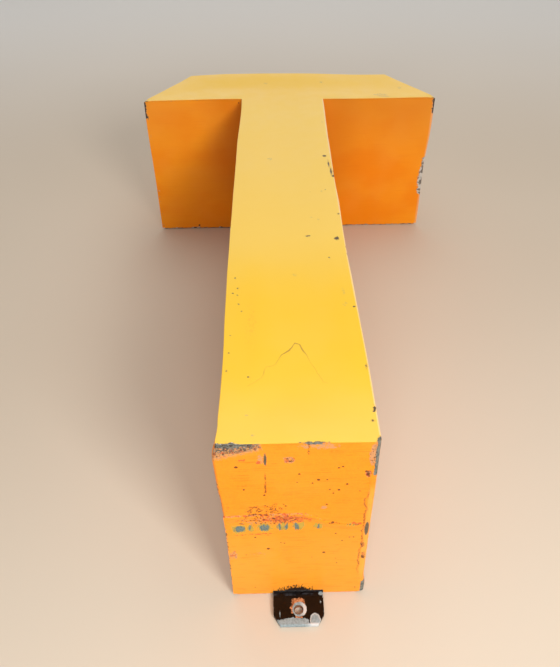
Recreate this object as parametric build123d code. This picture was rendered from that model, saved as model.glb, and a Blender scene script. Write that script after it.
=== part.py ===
"""A T-shaped facade letter in painted sheet steel, lying on its open back.

+X is the letter's right and +Y its top, seen from the front, and +Z leaves the wall it hangs on. The origin
is at the middle of the crossbar's width and of the letter's height, on the plane of the back flanges.
"""

import math
import os

from build123d import *

# The letter's outline, in millimetres
LETTER_HEIGHT = 500.0
BAR_WIDTH = 285.0  # across the arms at the shoulders
BAR_TOP_WIDTH = 205.0  # across the arms at the top: their ends slope
BAR_HEIGHT = 66.0
STEM_WIDTH = 80.0
STEM_OFFSET = -8.0  # the stem stands left of the crossbar's middle
DEPTH = 146.0

# Sheet steel and its folds
SHEET = 1.0
BEND_RADIUS = 2.0  # outside of a fold
BACK_FLANGE = 12.0
FOLD_RELIEF = 2.5  # cut back from a corner, so that the flanges can fold
LAP = 10.0  # width of a lapped seam

# The foot wall is two plates, closed over by a flange of each side strip
LEFT_FOOT_FLANGE = 22.5
RIGHT_FOOT_LIP = 3.5
FOOT_SEAM = ((0.0, 85.5), (42.0, 85.0), (57.0, 77.5), (76.5, 75.5))  # across the lower plate, and its height
FOOT_UPPER_BOTTOM = 66.0
FILLER_RECESS = 0.1  # how far the filler over the upper plate has sunk

# Wall brackets, one at each end of the letter
BRACKET_WIDTH = 31.0
BRACKET_THICKNESS = 3.0
BRACKET_BEND = 1.5  # inside radius
BRACKET_REACH = 22.0  # out from the wall of the letter
BRACKET_LEG = 45.0  # up the inside of the wall
BRACKET_CHAMFER_X, BRACKET_CHAMFER_Y = 4.0, 6.5
SCREW_HOLE_RADIUS = 2.75  # clearance for a 5 mm screw
SCREW_HOLE_REACH = 12.5
NOTCH_CLEARANCE = 0.3
NOTCH_HEIGHT = 4.6

# Flat bars across the open back
TIE_WIDTH = 20.0
TIE_THICKNESS = 3.0
TIE_END_GAP = 2.2  # keeps the ends out of the fold
STEM_TIE_HEIGHTS = {"stem_tie_lower": -110.0, "stem_tie_upper": 60.0}
ARM_TIE_REACH = 78.0

# Seams
SOLDER_LEG = 4.0
CORNER_BEAD_LEG = 3.0
LAP_BEAD_LEG = 1.5
WELD_LEG = 2.0
SEAM_MARGIN = 8.0  # short of the face and of the back
TIE_WELD_LENGTH = 7.0
TIE_WELD_START = 3.0  # in from the outside of the wall
TACK_RADIUS = 3.0
TACK_RISE = 0.35
TACK_OFFSETS = (-33.0, -20.0, -10.0, -1.0, 10.0)  # along the foot, from the stem's axis
TACK_Z = 73.8

foot_y = -LETTER_HEIGHT / 2
top_y = LETTER_HEIGHT / 2
shoulder_y = top_y - BAR_HEIGHT
stem_left = STEM_OFFSET - STEM_WIDTH / 2
stem_right = STEM_OFFSET + STEM_WIDTH / 2
face_z = DEPTH - SHEET  # inside of the face plate
foot_plate_right = stem_right - RIGHT_FOOT_LIP

# Counter-clockwise from the foot's left corner
CORNERS = [
    Vector(stem_left, foot_y),
    Vector(stem_right, foot_y),
    Vector(stem_right, shoulder_y),
    Vector(BAR_WIDTH / 2, shoulder_y),
    Vector(BAR_TOP_WIDTH / 2, top_y),
    Vector(-BAR_TOP_WIDTH / 2, top_y),
    Vector(-BAR_WIDTH / 2, shoulder_y),
    Vector(stem_left, shoulder_y),
]
FOOT_LEFT, FOOT_RIGHT, NECK_RIGHT, ARM_RIGHT, TOP_RIGHT, TOP_LEFT, ARM_LEFT, NECK_LEFT = range(8)
NECKS = (NECK_RIGHT, NECK_LEFT)
FOLDED = (FOOT_LEFT, FOOT_RIGHT, NECK_RIGHT, TOP_RIGHT, TOP_LEFT, NECK_LEFT)


def next_corner(index):
    return (index + 1) % len(CORNERS)


def along(index):
    """Unit vector along the wall that starts at this corner."""
    return (CORNERS[next_corner(index)] - CORNERS[index]).normalized()


def inward(index):
    """Unit vector into the letter from the wall that starts at this corner."""
    direction = along(index)
    return Vector(-direction.Y, direction.X)


def inset_corner(index, inset):
    """The corner, moved in by the same distance from both of its walls."""
    before, after = inward(index - 1), inward(index)
    return CORNERS[index] + (before + after) * (inset / (1 + before.dot(after)))


def outline(inset):
    """The letter's area moved in by a distance, with its folded corners rounded."""
    area = make_face(Polyline(*[inset_corner(i, inset) for i in range(8)], close=True))
    for index in FOLDED:
        at = inset_corner(index, inset)
        radius = BEND_RADIUS - SHEET + inset if index in NECKS else BEND_RADIUS - inset
        vertex = min(area.vertices(), key=lambda v: (v.center() - at).length)
        area = fillet(vertex, radius)
    return area


def box_between(low, high):
    """A box from its lowest to its highest corner."""
    size = [h - l for l, h in zip(low, high)]
    return Pos(*low) * Box(*size, align=(Align.MIN, Align.MIN, Align.MIN))


def wall_ring(bottom, top):
    """The walls all round the letter, between two heights."""
    return Pos(0, 0, bottom) * extrude(outline(0) - outline(SHEET), top - bottom)


def back_flange(index):
    """The inward flange of one wall at the letter's back, with its fold."""
    start, direction, into = CORNERS[index], along(index), inward(index)
    end_index = next_corner(index)
    length = (CORNERS[end_index] - start).length
    inner_radius = BEND_RADIUS - SHEET
    diagonal = math.sqrt(0.5)
    centre = BEND_RADIUS
    outer_middle, inner_middle = [centre - radius * diagonal for radius in (BEND_RADIUS, inner_radius)]
    profile = make_face(
        [
            ThreePointArc((0, centre), (outer_middle, outer_middle), (centre, 0)),
            Polyline((centre, 0), (BACK_FLANGE, 0), (BACK_FLANGE, SHEET), (centre, SHEET)),
            ThreePointArc((centre, SHEET), (inner_middle, inner_middle), (SHEET, centre)),
            Line((SHEET, centre), (0, centre)),
        ]
    )
    plane = Plane(origin=start, x_dir=into, z_dir=direction)
    bar = extrude(plane * profile, length, dir=direction)

    def trimmed(corner, towards):
        """The flange's two end points at a corner: mitred, or square at a neck."""
        outer = CORNERS[corner] + towards * FOLD_RELIEF
        if corner in NECKS:
            return outer, outer + into * BACK_FLANGE
        return outer, inset_corner(corner, BACK_FLANGE) + towards * FOLD_RELIEF

    near_outer, near_inner = trimmed(index, direction)
    far_outer, far_inner = trimmed(end_index, -direction)
    plan = make_face(Polyline(near_outer, far_outer, far_inner, near_inner, close=True))
    return bar & extrude(plan, BACK_FLANGE)


def bracket_notch(end):
    """The slot that a bracket passes through: end is -1 at the foot and 1 at the top."""
    half = BRACKET_WIDTH / 2 + NOTCH_CLEARANCE
    low_y, high_y = sorted((end * (top_y + SHEET), end * (top_y - 2 * BACK_FLANGE)))
    return box_between((STEM_OFFSET - half, low_y, -SHEET), (STEM_OFFSET + half, high_y, NOTCH_HEIGHT))


def foot_plate_block(inset, thickness):
    """The lower foot plate from an inset off the letter's left side, built inwards from the foot."""
    seam = [(stem_left + across, foot_y, height) for across, height in reversed(FOOT_SEAM)]
    area = Polyline(
        (stem_left, foot_y, BEND_RADIUS), (foot_plate_right, foot_y, BEND_RADIUS), *seam, close=True
    )
    block = extrude(make_face(area), thickness, dir=(0, 1, 0))
    return block & box_between((stem_left + inset, foot_y, 0), (stem_right, foot_y + thickness, DEPTH))


def face_plate():
    return Pos(0, 0, face_z) * extrude(outline(0), SHEET)


def side_strip(side):
    """One strip folded along the stem and out along the arm: side is -1 for the left and 1 for the right."""
    if side < 0:
        stem_wall, arm_wall, foot_reach = NECK_LEFT, ARM_LEFT, stem_left + LEFT_FOOT_FLANGE
    else:
        stem_wall, arm_wall, foot_reach = FOOT_RIGHT, NECK_RIGHT, foot_plate_right
    low_x, high_x = sorted((foot_reach, side * BAR_WIDTH))
    walls = wall_ring(BEND_RADIUS, face_z) & box_between(
        (low_x, foot_y, 0), (high_x, shoulder_y + SHEET, face_z)
    )
    if side < 0:
        # Below its sloping edge, the foot's lower plate takes this flange's place, fold and all
        walls = walls - foot_plate_block(0, SHEET) - foot_plate_block(SHEET, BEND_RADIUS)
    return walls + back_flange(stem_wall) + back_flange(arm_wall)


def shoulder_laps():
    """The two flanges of the head's strip that lie on the inside of the shoulders."""
    laps = []
    for corner, away in ((ARM_LEFT, 1), (ARM_RIGHT, -1)):
        inner = inset_corner(corner, SHEET)
        low_x, high_x = sorted((inner.X, inner.X + away * LAP))
        laps.append(
            box_between((low_x, shoulder_y + SHEET, BACK_FLANGE), (high_x, shoulder_y + 2 * SHEET, face_z))
        )
    return laps


def head_return():
    """One strip folded over both sloping ends and the top, lapped behind both shoulders."""
    walls = wall_ring(BEND_RADIUS, face_z) & box_between(
        (-BAR_WIDTH, shoulder_y + SHEET, 0), (BAR_WIDTH, top_y, face_z)
    )
    flanges = [back_flange(i) for i in (ARM_RIGHT, TOP_RIGHT, TOP_LEFT)]
    return walls + shoulder_laps() + flanges - bracket_notch(1)


def foot_wall_upper():
    """The foot's upper plate, which lies behind the side strips' flanges."""
    return box_between(
        (stem_left + BEND_RADIUS, foot_y + SHEET, FOOT_UPPER_BOTTOM),
        (stem_right - BEND_RADIUS, foot_y + 2 * SHEET, face_z),
    )


def foot_wall_lower():
    """The foot's lower plate, which laps over the upper one and is notched for the bracket."""
    return foot_plate_block(0, SHEET) + back_flange(FOOT_LEFT) - bracket_notch(-1)


def foot_filler():
    """The skim that fills the shallow recess over the upper plate, up to the flanges and the lower plate."""
    recess = box_between(
        (stem_left + LEFT_FOOT_FLANGE, foot_y + FILLER_RECESS, FOOT_UPPER_BOTTOM),
        (foot_plate_right, foot_y + SHEET, face_z),
    )
    return recess - foot_plate_block(0, SHEET)


def foot_bracket():
    """A bent flat bar: one leg up the inside of the foot wall, the other out along the building."""
    wall_inside = foot_y + SHEET
    centre_y, centre_z = wall_inside - BRACKET_BEND, BRACKET_THICKNESS + BRACKET_BEND
    outer_bend = BRACKET_BEND + BRACKET_THICKNESS
    tip_y = foot_y - BRACKET_REACH
    diagonal = math.sqrt(0.5)

    def at(y, z):
        return Vector(0, y, z)

    def on_bend(radius):
        return at(centre_y + radius * diagonal, centre_z - radius * diagonal)

    tab_top, leg_back = BRACKET_THICKNESS, wall_inside + BRACKET_THICKNESS
    profile = make_face(
        [
            Polyline(at(centre_y, 0), at(tip_y, 0), at(tip_y, tab_top), at(centre_y, tab_top)),
            ThreePointArc(at(centre_y, tab_top), on_bend(BRACKET_BEND), at(wall_inside, centre_z)),
            Polyline(
                at(wall_inside, centre_z),
                at(wall_inside, BRACKET_LEG),
                at(leg_back, BRACKET_LEG),
                at(leg_back, centre_z),
            ),
            ThreePointArc(at(leg_back, centre_z), on_bend(outer_bend), at(centre_y, 0)),
        ]
    )
    bar = Pos(STEM_OFFSET, 0, 0) * extrude(profile, BRACKET_WIDTH / 2, dir=(1, 0, 0), both=True)
    half = BRACKET_WIDTH / 2
    for side in (-1, 1):
        corner = Vector(STEM_OFFSET + side * half, tip_y)
        along_tip, along_edge = Vector(-side * BRACKET_CHAMFER_X, 0), Vector(0, BRACKET_CHAMFER_Y)
        cut = make_face(Polyline(corner, corner + along_tip, corner + along_edge, close=True))
        bar -= Pos(0, 0, -BRACKET_THICKNESS) * extrude(cut, 3 * BRACKET_THICKNESS)
    hole_y = foot_y - SCREW_HOLE_REACH
    return bar - Pos(STEM_OFFSET, hole_y, 0) * Cylinder(SCREW_HOLE_RADIUS, 4 * BRACKET_THICKNESS)


def corner_run(at, first, second, length, leg):
    """A quarter-round run from a point in a right-angled corner, on the faces along its two directions.

    It runs towards their cross product.
    """
    at, first, second = Vector(*at), Vector(*first), Vector(*second)
    middle = at + (first + second) * (leg * math.sqrt(0.5))
    start, end = at + first * leg, at + second * leg
    section = make_face([Line(at, start), ThreePointArc(start, middle, end), Line(end, at)])
    return extrude(section, length, dir=first.cross(second))


def bracket_welds():
    """The runs up both edges of the foot bracket's inner leg and along its top."""
    half = BRACKET_WIDTH / 2
    wall_inside = foot_y + SHEET
    bottom, top = SEAM_MARGIN, BRACKET_LEG - 2
    left, right = STEM_OFFSET - half, STEM_OFFSET + half
    return [
        corner_run((right, wall_inside, bottom), (1, 0, 0), (0, 1, 0), top - bottom, WELD_LEG),
        corner_run((left, wall_inside, top), (-1, 0, 0), (0, 1, 0), top - bottom, WELD_LEG),
        corner_run((right - 2, wall_inside, BRACKET_LEG), (0, 0, 1), (0, 1, 0), BRACKET_WIDTH - 4, WELD_LEG),
    ]


def ties():
    """The flat bars across the open back, by name, each lying on two back flanges."""
    low_z, high_z = SHEET, SHEET + TIE_THICKNESS
    made = {}
    for name, y in STEM_TIE_HEIGHTS.items():
        made[name] = box_between(
            (stem_left + TIE_END_GAP, y - TIE_WIDTH / 2, low_z),
            (stem_right - TIE_END_GAP, y + TIE_WIDTH / 2, high_z),
        )
    for name, x in (("left_arm_tie", -ARM_TIE_REACH), ("right_arm_tie", ARM_TIE_REACH)):
        made[name] = box_between(
            (x - TIE_WIDTH / 2, shoulder_y + TIE_END_GAP, low_z),
            (x + TIE_WIDTH / 2, top_y - TIE_END_GAP, high_z),
        )
    return made


def tie_welds():
    """A short run on both sides of every flat bar at both of its ends."""
    half = TIE_WIDTH / 2
    runs = []
    for y in STEM_TIE_HEIGHTS.values():
        for start in (stem_left + TIE_WELD_START, stem_right - TIE_WELD_START - TIE_WELD_LENGTH):
            end = start + TIE_WELD_LENGTH
            for at, out in (((start, y + half, SHEET), (0, 1, 0)), ((end, y - half, SHEET), (0, -1, 0))):
                runs.append(corner_run(at, out, (0, 0, 1), TIE_WELD_LENGTH, WELD_LEG))
    for x in (-ARM_TIE_REACH, ARM_TIE_REACH):
        for start in (shoulder_y + TIE_WELD_START, top_y - TIE_WELD_START - TIE_WELD_LENGTH):
            end = start + TIE_WELD_LENGTH
            for at, out in (((x - half, start, SHEET), (-1, 0, 0)), ((x + half, end, SHEET), (1, 0, 0))):
                runs.append(corner_run(at, out, (0, 0, 1), TIE_WELD_LENGTH, WELD_LEG))
    return runs


def face_seam_solder(upper_plate):
    """The fillet of solder that holds the face plate to the walls, inside the letter."""
    rings = []
    for z, inset in ((face_z - SOLDER_LEG, 0), (face_z, SOLDER_LEG)):
        corners = [inset_corner(i, SHEET + inset) for i in range(8)]
        rings.append(Pos(0, 0, z) * make_face(Polyline(*corners, close=True)))
    block = Pos(0, 0, face_z - SOLDER_LEG) * extrude(outline(SHEET), SOLDER_LEG)
    return block - loft(rings, ruled=True) - upper_plate - shoulder_laps()


def upright_run(x, y, side, bottom, height, leg):
    """A corner run up the inside of a wall at y, beside an edge at x: side is -1 for left and 1 for right."""
    start = bottom if side > 0 else bottom + height
    return corner_run((x, y, start), (side, 0, 0), (0, 1, 0), height, leg)


def corner_seam_solder():
    """An upright run wherever two of the wall's strips or plates meet."""
    low, high = SEAM_MARGIN, face_z - SOLDER_LEG - SEAM_MARGIN
    left, right = stem_left + SHEET, stem_right - SHEET
    lower_inside, upper_inside = foot_y + SHEET, foot_y + 2 * SHEET
    lower_height, upper_height = FOOT_UPPER_BOTTOM - low, high - FOOT_UPPER_BOTTOM
    butt_run = [
        upright_run(foot_plate_right, lower_inside, side, low, lower_height, LAP_BEAD_LEG) for side in (-1, 1)
    ]
    runs = [
        upright_run(left, lower_inside, 1, low, lower_height, CORNER_BEAD_LEG),
        upright_run(left, upper_inside, 1, FOOT_UPPER_BOTTOM, upper_height, CORNER_BEAD_LEG),
        upright_run(right, upper_inside, -1, FOOT_UPPER_BOTTOM, upper_height, CORNER_BEAD_LEG),
        butt_run[0] + butt_run[1],
    ]
    lap_height = high - low - SOLDER_LEG
    for corner, side in ((ARM_LEFT, 1), (ARM_RIGHT, -1)):
        lap_end = inset_corner(corner, SHEET).X + side * LAP
        runs.append(upright_run(lap_end, shoulder_y + SHEET, side, BACK_FLANGE, lap_height, LAP_BEAD_LEG))
    return runs


def foot_tack_welds():
    """Low round tacks along the lap of the two foot plates."""
    ball = (TACK_RADIUS**2 + TACK_RISE**2) / (2 * TACK_RISE)
    outside = box_between((-BAR_WIDTH, foot_y - 1, 0), (BAR_WIDTH, foot_y, DEPTH))
    centre_y = foot_y - TACK_RISE + ball
    return [(Pos(STEM_OFFSET + x, centre_y, TACK_Z) * Sphere(ball)) & outside for x in TACK_OFFSETS]


def main():
    foot_upper = foot_wall_upper()
    foot_clip, foot_clip_welds = foot_bracket(), bracket_welds()
    parts = {
        "face_plate": [face_plate()],
        "left_return": [side_strip(-1)],
        "right_return": [side_strip(1)],
        "head_return": [head_return()],
        "foot_wall_upper": [foot_upper],
        "foot_wall_lower": [foot_wall_lower()],
        "foot_filler": [foot_filler()],
        "foot_bracket": [foot_clip],
        "head_bracket": [mirror(foot_clip, about=Plane.XZ)],
        "foot_bracket_welds": foot_clip_welds,
        "head_bracket_welds": [mirror(run, about=Plane.XZ) for run in foot_clip_welds],
        "tie_welds": tie_welds(),
        "face_seam_solder": [face_seam_solder(foot_upper)],
        "corner_seam_solder": corner_seam_solder(),
        "foot_tack_welds": foot_tack_welds(),
        **{name: [bar] for name, bar in ties().items()},
    }
    os.makedirs("parts", exist_ok=True)
    for name, shapes in parts.items():
        export_step(Compound([solid for shape in shapes for solid in shape.solids()]), f"parts/{name}.step")


main()
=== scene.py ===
"""The looks of a painted sheet-steel facade letter T, lying on its open back on a pale floor.

The letter's own measures, shader fields and lists of marks are in millimetres, in its own frame.
What comes from the frame and what is handed to Blender are in metres.
"""

import math

import bmesh
import bpy
import numpy as np
from mathutils import Matrix, Vector, noise


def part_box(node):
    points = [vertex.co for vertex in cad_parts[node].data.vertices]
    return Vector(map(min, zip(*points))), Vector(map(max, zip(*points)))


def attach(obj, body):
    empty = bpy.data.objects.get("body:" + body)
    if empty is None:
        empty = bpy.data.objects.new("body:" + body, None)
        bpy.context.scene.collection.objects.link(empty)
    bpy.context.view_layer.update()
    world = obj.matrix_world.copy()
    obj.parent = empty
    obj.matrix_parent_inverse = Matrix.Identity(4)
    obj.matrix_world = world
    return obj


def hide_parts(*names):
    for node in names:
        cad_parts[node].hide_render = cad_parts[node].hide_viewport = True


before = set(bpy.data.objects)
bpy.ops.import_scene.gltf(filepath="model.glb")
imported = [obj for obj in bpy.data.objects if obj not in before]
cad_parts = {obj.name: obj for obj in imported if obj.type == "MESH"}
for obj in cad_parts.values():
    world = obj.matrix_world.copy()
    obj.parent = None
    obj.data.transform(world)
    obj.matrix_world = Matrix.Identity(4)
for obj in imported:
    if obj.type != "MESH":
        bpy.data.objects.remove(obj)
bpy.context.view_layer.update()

MM = 0.001
SHAPE_SEED = 7
noise.seed_set(SHAPE_SEED)  # without it, Blender's vector noise differs from run to run

# The letter's own measures, from its CAD pieces
face_low, face_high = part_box("face_plate")
right_low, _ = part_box("right_return")
head_low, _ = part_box("head_return")
lower_low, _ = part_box("foot_wall_lower")
filler_low, filler_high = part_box("foot_filler")
tab_low, tab_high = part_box("foot_bracket")

SHEET = 1.0
BACK_FLANGE = 12.0  # how far the flange at the back reaches in from its wall
FRONT = face_high.z / MM
FOOT = face_low.y / MM
TOP = face_high.y / MM
STEM_LEFT = lower_low.x / MM
STEM_RIGHT = right_low.x / MM + BACK_FLANGE
SHOULDER = head_low.y / MM - SHEET
STEM_MIDDLE = (tab_low.x + tab_high.x) / 2 / MM
LAP_LEFT, LAP_RIGHT = filler_low.x / MM, filler_high.x / MM
TAB_LEFT, TAB_RIGHT = tab_low.x / MM, tab_high.x / MM
TAB_TIP = tab_low.y / MM
TAB_HOLE_REACH = 12.5  # from the letter's wall to the screw hole

# The foot's seam: its height at the left, and its falls as x goes from one value to another
SEAM_TOP = 85.6
SEAM_FALLS = ((-6, 10, 8.4), (8, 28, 1.6))
# The face's edges run this much to the left of straight in the middle of the stem
STEM_BOW = 1.4
# The crossbar's ends reach this much further out than in CAD, the right one only near the front
LEFT_ARM_REACH, RIGHT_ARM_REACH = 2.0, 1.3
ARM_TAPER = 40.0  # each sloping end of the crossbar moves this far in from shoulder to top
# How far the foot's left fold bows out, by height
LEFT_BOW_Z = (0, 20, 48, 83, 101, 107, 122, 135, 141, 146)
LEFT_BOW_X = (-0.4, -0.5, -0.8, -1.5, -2.3, -3.2, -3.6, -4.0, -2.9, -1.4)

UNBOUNDED = 1e6  # a mark's radius along an axis that doesn't limit it
FAR_BELOW = 9.0  # enough to take any mark's edge out of reach

# ---------------------------------------------------------------- shader fields


class Field:
    """A number or a colour that varies over a surface. Arithmetic on it adds the nodes that work it out."""

    def __init__(self, tree, socket):
        self.tree = tree
        self.socket = socket

    def math(self, operation, *others, clamp=False):
        node = self.tree.nodes.new("ShaderNodeMath")
        node.operation = operation
        node.use_clamp = clamp
        for socket, value in zip(node.inputs, (self, *others)):
            feed(self.tree, socket, value)
        return Field(self.tree, node.outputs[0])

    def __add__(self, other):
        return self.math("ADD", other)

    def __sub__(self, other):
        return self.math("SUBTRACT", other)

    def __rsub__(self, other):
        node = self.tree.nodes.new("ShaderNodeMath")
        node.operation = "SUBTRACT"
        feed(self.tree, node.inputs[0], other)
        feed(self.tree, node.inputs[1], self)
        return Field(self.tree, node.outputs[0])

    def __mul__(self, other):
        return self.math("MULTIPLY", other)

    def __truediv__(self, other):
        return self.math("DIVIDE", other)

    def __neg__(self):
        return self.math("MULTIPLY", -1.0)

    def __abs__(self):
        return self.math("ABSOLUTE")

    __radd__ = __add__
    __rmul__ = __mul__

    def at_least(self, other):
        return self.math("MAXIMUM", other)

    def at_most(self, other):
        return self.math("MINIMUM", other)

    def only(self, share):
        """The same where share is 1, and far below 0 where it is 0."""
        return self + (share - 1.0) * FAR_BELOW

    def step(self, low, high):
        """0 below low, 1 above high, and smooth between. A falling step has its high first."""
        node = self.tree.nodes.new("ShaderNodeMapRange")
        node.interpolation_type = "SMOOTHSTEP"
        falling = high < low
        feed(self.tree, node.inputs["Value"], self)
        node.inputs["From Min"].default_value = min(low, high)
        node.inputs["From Max"].default_value = max(low, high)
        node.inputs["To Min"].default_value = 1.0 if falling else 0.0
        node.inputs["To Max"].default_value = 0.0 if falling else 1.0
        return Field(self.tree, node.outputs["Result"])


def feed(tree, socket, value):
    """Connects a field to a socket, or sets a plain value on it."""
    if isinstance(value, Field):
        tree.links.new(value.socket, socket)
    elif hasattr(socket.default_value, "__len__"):
        width = len(socket.default_value)
        socket.default_value = (*value, 1.0)[:width]
    else:
        socket.default_value = value


class Surface:
    """A material under construction, with the position on the letter in millimetres as x, y and z."""

    def __init__(self, name):
        self.material = bpy.data.materials.new(name)
        self.material.use_nodes = True
        self.tree = self.material.node_tree
        self.tree.nodes.clear()
        coordinates = self.tree.nodes.new("ShaderNodeTexCoord")
        scale = self.tree.nodes.new("ShaderNodeVectorMath")
        scale.operation = "SCALE"
        scale.inputs["Scale"].default_value = 1 / MM
        self.tree.links.new(coordinates.outputs["Object"], scale.inputs[0])
        self.place = Field(self.tree, scale.outputs[0])
        split = self.tree.nodes.new("ShaderNodeSeparateXYZ")
        feed(self.tree, split.inputs[0], self.place)
        self.x, self.y, self.z = [Field(self.tree, output) for output in split.outputs]

    def vector(self, x, y, z):
        node = self.tree.nodes.new("ShaderNodeCombineXYZ")
        for socket, value in zip(node.inputs, (x, y, z)):
            feed(self.tree, socket, value)
        return Field(self.tree, node.outputs[0])

    def noise(self, size, detail=2.0, roughness=0.5, place=None, stretch=(1, 1, 1), distortion=0.0):
        """Smooth noise from 0 to 1, mostly near 0.5, whose blobs are about this size in millimetres."""
        mapping = self.tree.nodes.new("ShaderNodeVectorMath")
        mapping.operation = "MULTIPLY"
        feed(self.tree, mapping.inputs[0], place or self.place)
        mapping.inputs[1].default_value = [1 / (size * s) for s in stretch]
        node = self.tree.nodes.new("ShaderNodeTexNoise")
        node.inputs["Scale"].default_value = 1.0
        node.inputs["Detail"].default_value = detail
        node.inputs["Roughness"].default_value = roughness
        node.inputs["Distortion"].default_value = distortion
        self.tree.links.new(mapping.outputs[0], node.inputs["Vector"])
        return Field(self.tree, node.outputs["Fac"])

    def specks(self, spacing, radius, place=None):
        """1 in small round specks, one in each cell of about this spacing, with uneven sizes."""
        mapping = self.tree.nodes.new("ShaderNodeVectorMath")
        mapping.operation = "SCALE"
        mapping.inputs["Scale"].default_value = 1 / spacing
        feed(self.tree, mapping.inputs[0], place or self.place)
        node = self.tree.nodes.new("ShaderNodeTexVoronoi")
        node.inputs["Scale"].default_value = 1.0
        self.tree.links.new(mapping.outputs[0], node.inputs["Vector"])
        shade = self.tree.nodes.new("ShaderNodeSeparateColor")
        self.tree.links.new(node.outputs["Color"], shade.inputs[0])
        chance = Field(self.tree, shade.outputs[0])
        distance = Field(self.tree, node.outputs["Distance"]) * spacing
        return (chance * radius - distance).step(-0.12, 0.12)

    def mix(self, share, first, second):
        """A colour that goes from the first to the second as share goes from 0 to 1."""
        node = self.tree.nodes.new("ShaderNodeMix")
        node.data_type = "RGBA"
        colour_inputs = [socket for socket in node.inputs if socket.type == "RGBA"]
        feed(self.tree, node.inputs[0], share)
        for socket, value in zip(colour_inputs, (first, second)):
            feed(self.tree, socket, value)
        return Field(self.tree, next(socket for socket in node.outputs if socket.type == "RGBA"))

    def inside(self, place, centre, radii):
        """How far a place is inside an ellipsoid, in millimetres: negative outside."""
        offset = self.tree.nodes.new("ShaderNodeVectorMath")
        offset.operation = "SUBTRACT"
        feed(self.tree, offset.inputs[0], place)
        offset.inputs[1].default_value = centre
        scale = self.tree.nodes.new("ShaderNodeVectorMath")
        scale.operation = "DIVIDE"
        self.tree.links.new(offset.outputs[0], scale.inputs[0])
        scale.inputs[1].default_value = radii
        length = self.tree.nodes.new("ShaderNodeVectorMath")
        length.operation = "LENGTH"
        self.tree.links.new(scale.outputs[0], length.inputs[0])
        return (1.0 - Field(self.tree, length.outputs["Value"])) * min(radii)

    def spot(self, first, second, radius, other_radius, across=2, place=None):
        """How far a place is inside an ellipse, seen along the axis with this number."""
        centre, radii = [first, second], [radius, other_radius]
        centre.insert(across, 0.0)
        radii.insert(across, UNBOUNDED)
        return self.inside(place or self.place, centre, radii)

    def finish(self, colour, roughness, metallic=0.0, height=None, specular=0.5):
        """Adds the shader. Height is in millimetres."""
        shader = self.tree.nodes.new("ShaderNodeBsdfPrincipled")
        feed(self.tree, shader.inputs["Base Color"], colour)
        feed(self.tree, shader.inputs["Roughness"], roughness)
        feed(self.tree, shader.inputs["Metallic"], metallic)
        shader.inputs["Specular IOR Level"].default_value = specular
        if height is not None:
            bump = self.tree.nodes.new("ShaderNodeBump")
            bump.inputs["Distance"].default_value = MM
            bump.inputs["Strength"].default_value = 1.0
            feed(self.tree, bump.inputs["Height"], height)
            self.tree.links.new(bump.outputs["Normal"], shader.inputs["Normal"])
        output = self.tree.nodes.new("ShaderNodeOutputMaterial")
        self.tree.links.new(shader.outputs[0], output.inputs["Surface"])
        return self.material


# ---------------------------------------------------------------- paint and metal

YELLOW = (0.86, 0.51, 0.012)
YELLOW_DEEP = (0.86, 0.50, 0.004)
# A pale chalky yellow, used also for painted sheen
YELLOW_CHALK_AND_SHEEN = (0.86, 0.55, 0.10)
ORANGE = (0.85, 0.285, 0.008)
ORANGE_DEEP = (0.82, 0.235, 0.003)
# A pale chalky orange, used also for painted sheen and painted reflection
ORANGE_CHALK_AND_SHEEN = (0.86, 0.32, 0.035)
FOOT_ORANGE = (0.86, 0.235, 0.008)
PRIMER_PINK = (0.52, 0.26, 0.12)
PRIMER_TAN = (0.42, 0.26, 0.11)
PRIMER_RED = (0.56, 0.10, 0.028)
OLD_GREEN = (0.37, 0.285, 0.045)
OLD_BROWN = (0.13, 0.075, 0.03)
ZINC_DARK = (0.095, 0.11, 0.105)
ZINC = (0.23, 0.225, 0.19)
ZINC_PALE = (0.33, 0.42, 0.46)
TACK_BLUE = (0.10, 0.155, 0.165)
TACK_GREY = (0.19, 0.225, 0.19)
PIT = (0.07, 0.02, 0.008)
BLACK_ENAMEL = (0.004, 0.002, 0.002)
SOOT = (0.03, 0.016, 0.010)
RUST = (0.28, 0.085, 0.025)
RUST_PALE = (0.62, 0.27, 0.12)

# Chips in the face: x, y, and half sizes along x and y
FACE_CHIPS = (
    (25, 59, 1.7, 2.0), (29, -36, 0.8, 1.2), (25, -69, 1.6, 2.3), (5, -64, 1.4, 1.1),
    (-42, -124, 0.6, 0.7), (-45, -129, 0.5, 0.6), (-42, -131, 0.5, 0.5), (-41, -140, 0.8, 0.7),
    (-39, -147, 0.5, 0.6), (-44, -113, 0.4, 0.5), (-45, -169, 0.4, 0.5), (-34, -203, 0.6, 0.5),
    (-46, -198, 0.4, 0.7), (-45, -184, 0.4, 0.4), (29, -145, 0.8, 0.8), (18, -92, 0.5, 0.5),
    (30.5, -197, 0.6, 1.6), (31, -228, 1.0, 2.2), (29, -236, 0.7, 0.8), (10, -1, 0.4, 0.5),
    (22, 1, 0.4, 0.5),
)
# Faint bruises in the face, the same way
FACE_BRUISES = (
    (28, 128, 1.5, 1.2), (-21, 57, 2.0, 2.0), (19, -1, 1.2, 1.5), (9, -39, 1.2, 1.2),
    (14, -43, 1.0, 1.2), (91, 194, 8.0, 3.4), (94, 189, 6.0, 1.6), (34, 228, 2.2, 2.6),
    (112, 212, 2.0, 2.6), (-24, 225, 2.2, 2.0), (-6, -110, 2.0, 1.5), (24, -130, 1.0, 3.0),
    (24, -142, 1.4, 2.0), (-31, -244, 1.2, 1.0), (-34, -231, 0.8, 0.9),
)
# The fine crack in the face: each x and y that it runs through
FACE_CRACK = (
    (-34, -210), (-27, -203), (-24, -195), (-19, -193), (-16, -186), (-10, -179), (-8, -175.5),
    (-5.5, -176.5), (-1, -188), (6, -207), (9, -209),
)
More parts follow.
